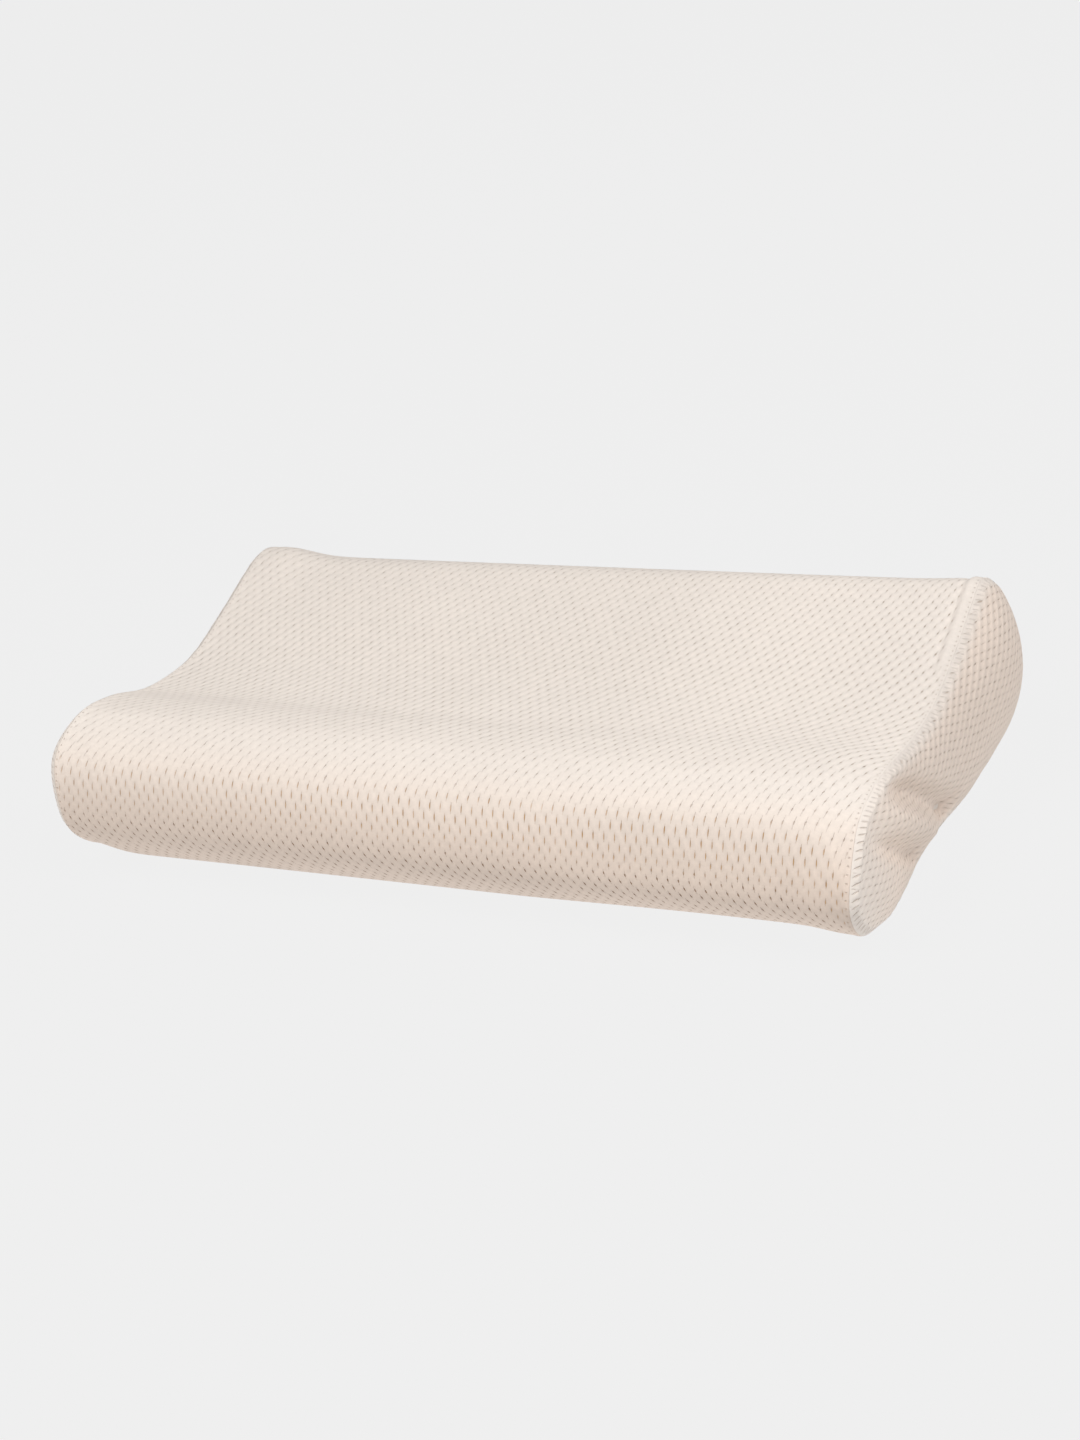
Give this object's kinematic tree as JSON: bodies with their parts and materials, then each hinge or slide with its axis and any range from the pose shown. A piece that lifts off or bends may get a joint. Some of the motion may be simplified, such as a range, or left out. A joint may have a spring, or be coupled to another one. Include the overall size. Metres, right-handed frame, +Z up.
{
  "type": "contour pillow",
  "caption": "Wave-shaped bed pillow with a low front lobe, a valley and a high back lobe, in a knitted mesh cover with sewn end panels.",
  "frame": {"origin": "middle of the footprint, on the surface that the pillow rests on", "axes": "+X along the pillow from the left end to the right end, +Y from the low front lobe to the high back lobe, +Z up"},
  "size_m": [0.5195, 0.3104, 0.1143],
  "materials": {
    "cover": "cream knitted air-mesh cover with small staggered slits",
    "end_panels": "the same cream knit, seen across its ribs, lying a little loose"
  },
  "bodies": {
    "root": {"pillow_body": "cover", "end_panel_left": "end_panels", "end_panel_right": "end_panels"}
  },
  "joints": []
}
